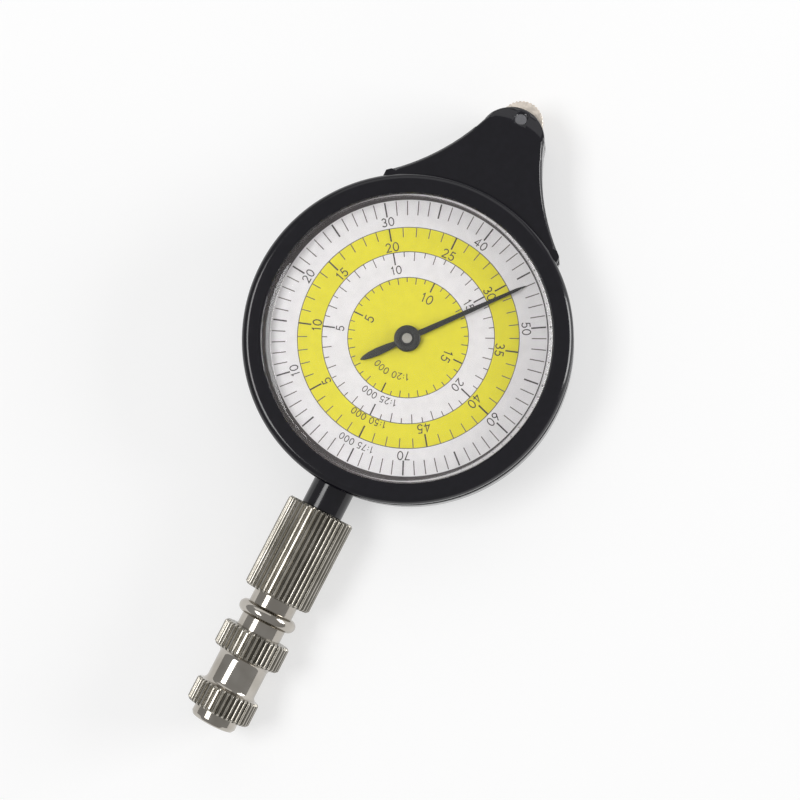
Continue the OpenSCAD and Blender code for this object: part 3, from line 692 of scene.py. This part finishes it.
def prism(outline, verts, faces):
    """Adds a flat mark of ink on the dial."""
    base, count = len(verts), len(outline)
    for z in (PRINT_Z, INK_TOP):
        verts.extend((x, y, z) for x, y in outline)
    for i in range(count):
        n = (i + 1) % count
        faces.append([base + i, base + n, base + count + n, base + count + i])
    faces.append([base + i for i in reversed(range(count))])
    faces.append([base + count + i for i in range(count)])


def tick(angle, r0, r1, width, verts, faces):
    corners = ((-1, r0), (1, r0), (1, r1), (-1, r1))
    prism([on_dial(angle, side * width / 2, r) for side, r in corners], verts, faces)


def stroke(points, half, closed):
    """The left and the right edge of a stroke, at a distance of half from the line through the points."""
    least_cosine = 0.45
    overshoot = 0.6
    left, right = [], []
    count = len(points)
    for i, p in enumerate(points):
        p = Vector(p)
        a = Vector(points[i - 1]) if i or closed else None
        b = Vector(points[(i + 1) % count]) if i < count - 1 or closed else None
        u = (p - a).normalized() if a is not None else (b - p).normalized()
        v = (b - p).normalized() if b is not None else u
        n = Vector((-u.y - v.y, u.x + v.x)).normalized()
        reach = half / max(least_cosine, n.dot(Vector((-u.y, u.x))))
        end = Vector((0, 0))
        if a is None:
            end = -u * half * overshoot
        elif b is None:
            end = u * half * overshoot
        left.append(tuple(p + n * reach + end))
        right.append(tuple(p - n * reach + end))
    return left, right


def text(word, angle, radius, height, weight, verts, faces):
    """Numerals centred at an angle, feet at the radius and heads outwards, bent round the dial."""
    width = sum(GLYPHS[c][0] for c in word) + GLYPH_GAP * (len(word) - 1)
    x = -width / 2
    for c in word:
        advance, strokes = GLYPHS[c]
        middle = (x + advance / 2) * height
        turn = angle + math.degrees(middle / (radius + height / 2))
        for line in strokes:
            closed = (Vector(line[0]) - Vector(line[-1])).length < ON_AXIS
            if closed:
                line = line[:-1]
            left, right = stroke(line, weight / height / 2, closed)
            count = len(line)
            for i in range(count if closed else count - 1):
                n = (i + 1) % count
                quad = [right[i], right[n], left[n], left[i]]
                prism([on_dial(turn, (px - advance / 2) * height, radius + py * height)
                       for px, py in quad], verts, faces)
        x += advance + GLYPH_GAP


def scale_ticks(scale, fifths, verts, faces):
    """The ticks of a scale at its fifth units, or all its other ticks."""
    split = scale["split"]
    count = scale["units"] * split
    fifth_start, whole_start, half_start = scale["start"]
    for i in range(count):
        if fifths and i % (5 * split) == 0:
            tick(i * 360 / count, fifth_start, scale["end"], scale["bold"], verts, faces)
        elif not fifths and i % (5 * split):
            start = half_start if i % split else whole_start
            tick(i * 360 / count, start, scale["end"], scale["fine"], verts, faces)


def scale_numbers(scale, verts, faces):
    step, radius, height, weight = scale["numbers"]
    for value in range(step, scale["units"], step):
        text(str(value), value * 360 / scale["units"], radius, height, weight, verts, faces)


def dial_print():
    verts, faces = [], []
    ring(PRINT_HOLE_R, RING_RADII[0], PRINT_START, PRINT_Z, verts, faces)
    ring(RING_RADII[1], RING_RADII[2], PRINT_START, PRINT_Z, verts, faces)
    build("dial_yellow_rings", verts, faces, [YELLOW], "case")

    verts, faces = [], []
    # Painted shade: a dark ring in the ink's colour round the dial's edge, under the crystal's rim
    ring(EDGE_SHADE_R, EDGE_SHADE_END, PRINT_START, PRINT_Z, verts, faces)
    build("dial_edge_painted_shade", verts, faces, [INK], "case")

    verts, faces = [], []
    for r in RING_RADII:
        ring(r - LINE_W / 2, r + LINE_W / 2, PRINT_START, INK_Z, verts, faces)
    for scale in SCALES:
        scale_ticks(scale, False, verts, faces)
    build("dial_fine_marks", verts, faces, [INK_THIN], "case")

    verts, faces = [], []
    for scale in SCALES:
        scale_ticks(scale, True, verts, faces)
    for scale in SCALES:
        scale_numbers(scale, verts, faces)
    for scale in SCALES:
        text(scale["ratio"], 0, scale["ratio_r"], RATIO_H, RATIO_W, verts, faces)
    build("dial_marks", verts, faces, [INK], "case")


# ---- hand ----

def hand():
    """The hand's arm and leaf tail, drawn along the x axis and turned, and its hub with a shallow dish."""
    c, s = math.cos(math.radians(HAND_ANGLE)), math.sin(math.radians(HAND_ANGLE))
    tip = HAND_LEN - 0.05
    taper = HAND_LEN - 1.6
    arm = [(-0.5, -0.52), (taper, -0.25), (tip, -0.03), (tip, 0.03), (taper, 0.25), (-0.5, 0.52)]
    tail = [(0.5, 0.45), (-1.8, 0.42), (-3.6, 0.58), (-5.2, 0.65), (-6.6, 0.56), (-7.7, 0.34),
            (-TAIL_LEN, 0.05), (-TAIL_LEN, -0.1), (-7.7, -0.38), (-6.6, -0.56), (-5.2, -0.65),
            (-3.6, -0.58), (-1.8, -0.42), (0.5, -0.45)]
    edge = 0.07
    verts, faces = [], []
    for outline in (arm, tail):
        placed = [(x * c - y * s, x * s + y * c) for x, y in outline]
        slab(placed, HAND_Z, HAND_Z + HAND_T, edge, verts, faces)
    build("hand_arm", verts, faces, [HAND_BLACK], "hand_train", ["hand"])

    bore_r = ARBOR_R + 0.01
    top = HUB_Z + HUB_H
    dish = top - 0.1
    profile = rounded([
        (bore_r, HUB_Z), (HUB_R, HUB_Z, 0.1), (HUB_R, top, 0.28), (1.25, top, 0.05), (1.12, dish, 0.05),
        (bore_r, dish)])
    turned("hand_hub", profile, [HAND_BLACK], "hand_train", ["hand"], count=96)


# ---- tracing wheel ----

def on_axle(x, y, z):
    return (x, WHEEL_Y + y, z)


def wheel_section(k):
    """Radius of the serrated rim at a step round it."""
    t = abs((k % TOOTH_STEPS) / TOOTH_STEPS - 0.5) * 2
    return WHEEL_R - WHEEL_TOOTH * max(0.0, 1 - t / VALLEY)


def tracing_wheel():
    bore_r = AXLE_R + AXLE_GAP
    rim_r = WHEEL_R + 0.001
    face_r = WHEEL_R - WHEEL_BEVEL
    profile = rounded([
        (bore_r, WHEEL_Z), (face_r, WHEEL_Z, BEVEL_ROUND), (rim_r, WHEEL_Z + WHEEL_BEVEL, BEVEL_ROUND),
        (rim_r, WHEEL_TOP - WHEEL_BEVEL, BEVEL_ROUND), (face_r, WHEEL_TOP, BEVEL_ROUND),
        (bore_r, WHEEL_TOP)], steps=3)
    turned("roller", profile, [WHEEL_METAL], "tracer", ["tracing_wheel"],
           count=WHEEL_TEETH * TOOTH_STEPS, cut=lambda z: wheel_section, place=on_axle)


# ---- handle ----

def along(x, y, s):
    """Puts a turned piece along the handle, at the height of the parting line."""
    return (x, -s, PARTING_Z + y)


def in_flute(k):
    """How far a step round the knurl is from the nearest crest's middle, in pitches."""
    t = (k % FLUTE_STEPS) / FLUTE_STEPS
    return min(t, 1 - t)


def flute_section(r):
    """Radius at each step round of a knurl whose flat crests and hollows are joined by slopes."""
    return lambda k: r - FLUTE_DEPTH * min(1.0, max(0.0, (in_flute(k) - CREST) / SLOPE))


def flute_finish(k):
    """Number of the nickel on a face of a knurl: the deeper it lies, the darker it is painted, as painted
    shade in the flutes.
    """
    t = in_flute(k + 0.5)
    return 1 if t < CREST else 2 if t < CREST + SLOPE else 3


def knurl_profile(r, start, end, inner):
    return [(inner, start), (r - KNURL_EDGE, start, 0.08), (r, start + KNURL_EDGE, 0.12),
            (r, end - KNURL_EDGE, 0.12), (r - KNURL_EDGE, end, 0.08), (inner, end)]


def sleeve():
    section = flute_section(GRIP_R)
    profile = rounded(knurl_profile(GRIP_R, SLEEVE_START, SLEEVE_END, SLEEVE_BORE_R), steps=4)
    # The knurl's faces take the nickels of painted shade by their depth
    turned("grip_sleeve", profile, NICKELS, "case", ["handle_sleeve"],
           count=FLUTES * FLUTE_STEPS, cut=lambda s: section,
           finish=lambda s, k: flute_finish(k) if SLEEVE_START < s < SLEEVE_END else 0,
           place=along, sharp=KNURL_SHARP)


def tail_profile():
    """The tail from spigot to button, with a bead, a knurl, a waist flared at both ends and a knurl."""
    bead = [(NECK_R + (BEAD_R - NECK_R) * math.sin(math.radians(a)),
             BEAD_AT - BEAD_HALF * math.cos(math.radians(a))) for a in range(0, 181, 9)]
    neck = [(0, SPIGOT_START), (SPIGOT_R, SPIGOT_START), (SPIGOT_R, SLEEVE_END), (NECK_R, SLEEVE_END), *bead,
            (NECK_R, KNURL_2_START)]
    knurl_2 = knurl_profile(GRIP_R, KNURL_2_START, KNURL_2_END, NECK_R)[1:-1]
    flare = [(WAIST_R + FLARE, KNURL_2_END),
             *[(WAIST_R + FLARE * (1 - math.cos(math.radians(a))),
                KNURL_2_END + FLARE * (1 - math.sin(math.radians(a)))) for a in range(78, 0, -12)],
             (WAIST_R, KNURL_2_END + FLARE)]
    mirror = [(r, KNURL_2_END + KNURL_3_START - s) for r, s in reversed(flare[1:])]
    knurl_3 = knurl_profile(KNURL_3_R, KNURL_3_START, KNURL_3_END, BUTTON_R)[1:-1]
    button = [(BUTTON_R, KNURL_3_END), (BUTTON_R, HANDLE_END - 0.75, 0.25),
              (BUTTON_R - 0.35, HANDLE_END - 0.2, 0.35), (BUTTON_R - 1.05, HANDLE_END, 0.5), (0, HANDLE_END)]
    return rounded(neck + knurl_2 + flare + mirror + knurl_3 + button, closed=False, steps=4)


def tail():
    slack = 1e-6
    big = flute_section(GRIP_R)
    small = flute_section(KNURL_3_R)

    def cut(s):
        if KNURL_2_START - slack <= s <= KNURL_2_END + slack:
            return big
        return small if KNURL_3_START - slack <= s <= KNURL_3_END + slack else None

    def finish(s, k):
        knurled = KNURL_2_START < s < KNURL_2_END or KNURL_3_START < s < KNURL_3_END
        # Knurled faces take the nickels of painted shade by their depth
        return flute_finish(k) if knurled else 0
    turned("grip_tail", tail_profile(), NICKELS, "case", ["handle_tail"],
           count=FLUTES * FLUTE_STEPS, cut=cut, finish=finish, place=along, sharp=KNURL_SHARP)


# ---- stage, light and camera ----

FLOOR_REACH = 0.9
FLOOR_GLOW = 0.52
WORLD_LEVEL = 0.36

# Where the camera stands, what it looks at, its turn about that line in degrees, and its lens
EYE = (45.6, -26.24, 405.425)
AIM = (3.404, -9.324, 8.9)
ROLL = 27.3982
LENS = 111.24

# Each lamp: the side where it stands, its lean from the vertical in degrees, then its distance, width and
# length in metres and its power in watts
LAMPS = {
    "key": ((-0.91, -0.41), 31, 0.85, 0.48, 0.28, 2.75),
    "side": ((0.847, 0.531), 74, 0.72, 0.40, 0.30, 3.5),
    "back": ((-0.35, 0.94), 58, 0.85, 1.00, 0.50, 0.95),
}
LAMP_AIM = (0, 0, 0.01)


def floor_material():
    """A plain pale floor that glows for the camera, for mirrors and through the crystal only."""
    mat, tree, bsdf = new_material("floor_white")
    tinted(tree, bsdf, noise(tree, 6, 2), [(0.3, grey(0.50)), (0.7, grey(0.52))])
    bsdf.inputs["Roughness"].default_value = 0.9
    bsdf.inputs["Specular IOR Level"].default_value = 0.1
    path = add(tree, "ShaderNodeLightPath")
    seen = path.outputs["Is Camera Ray"]
    for other in ("Is Glossy Ray", "Is Transmission Ray"):
        most = add(tree, "ShaderNodeMath", operation="MAXIMUM")
        tree.links.new(seen, most.inputs[0])
        tree.links.new(path.outputs[other], most.inputs[1])
        seen = most.outputs["Value"]
    strength = add(tree, "ShaderNodeMath", operation="MULTIPLY")
    tree.links.new(seen, strength.inputs[0])
    strength.inputs[1].default_value = FLOOR_GLOW
    glow = add(tree, "ShaderNodeEmission")
    tree.links.new(strength.outputs["Value"], glow.inputs["Strength"])
    both = add(tree, "ShaderNodeAddShader")
    tree.links.new(bsdf.outputs["BSDF"], both.inputs[0])
    tree.links.new(glow.outputs["Emission"], both.inputs[1])
    tree.links.new(both.outputs["Shader"], tree.nodes["Material Output"].inputs["Surface"])
    return mat


def stage():
    mesh = bpy.data.meshes.new("floor")
    bm = bmesh.new()
    bmesh.ops.create_grid(bm, x_segments=4, y_segments=4, size=FLOOR_REACH)
    bm.to_mesh(mesh)
    bm.free()
    mesh.materials.append(floor_material())
    floor = link("floor", mesh)
    floor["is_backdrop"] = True


def from_above(side, lean, distance):
    """A place at a distance in metres, leaning from the vertical by an angle towards a side."""
    t = math.radians(lean)
    return (side[0] * math.sin(t) * distance, side[1] * math.sin(t) * distance, math.cos(t) * distance)


def lamp(name, side, lean, distance, width, length, power):
    data = bpy.data.lights.new(name, "AREA")
    data.shape = "RECTANGLE"
    data.size = width
    data.size_y = length
    data.energy = power
    piece = link(name, data)
    place = from_above(side, lean, distance)
    piece.location = place
    piece.rotation_euler = (Vector(LAMP_AIM) - Vector(place)).to_track_quat("-Z", "Y").to_euler()


def sky():
    """Even white light from all round."""
    world = bpy.data.worlds.new("world")
    bpy.context.scene.world = world
    world.use_nodes = True
    background = world.node_tree.nodes["Background"]
    background.inputs["Color"].default_value = (1.0, 1.0, 1.0, 1)
    background.inputs["Strength"].default_value = WORLD_LEVEL


def camera():
    data = bpy.data.cameras.new("camera")
    data.sensor_width = 36
    data.lens = LENS
    data.clip_start = 0.01
    data.clip_end = 10
    cam = link("camera", data)
    eye = Vector(EYE) * MM
    ahead = (Vector(AIM) * MM - eye).normalized()
    roll = math.radians(ROLL)
    right = ahead.cross(Vector((-math.sin(roll), math.cos(roll), 0))).normalized()
    up = right.cross(ahead)
    turn = Matrix((right, up, -ahead)).transposed().to_4x4()
    cam.matrix_world = Matrix.Translation(eye) @ turn
    bpy.context.scene.camera = cam


# ---- everything, in order ----

# CAD nodes that keep their mesh, with the width of the rounding at their sharp edges
SOFTENED = {"case_screws": 0.08, "wheel_axle": 0.05, "centre_arbor": 0.06, "handle_stem": 0.12}

dress_nodes()
case_shells()
bezel()
crystal()
dial_plate()
dial_print()
hand()
tracing_wheel()
sleeve()
tail()
for softened_node, rounding in SOFTENED.items():
    soften(softened_node, rounding)
stage()
for lamp_name, lamp_values in LAMPS.items():
    lamp(lamp_name, *lamp_values)
sky()
camera()
bpy.context.scene.view_settings.view_transform = "Standard"

boxes = [[[float(c) for c in corner] for corner in box] for box in (cad_box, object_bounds())]
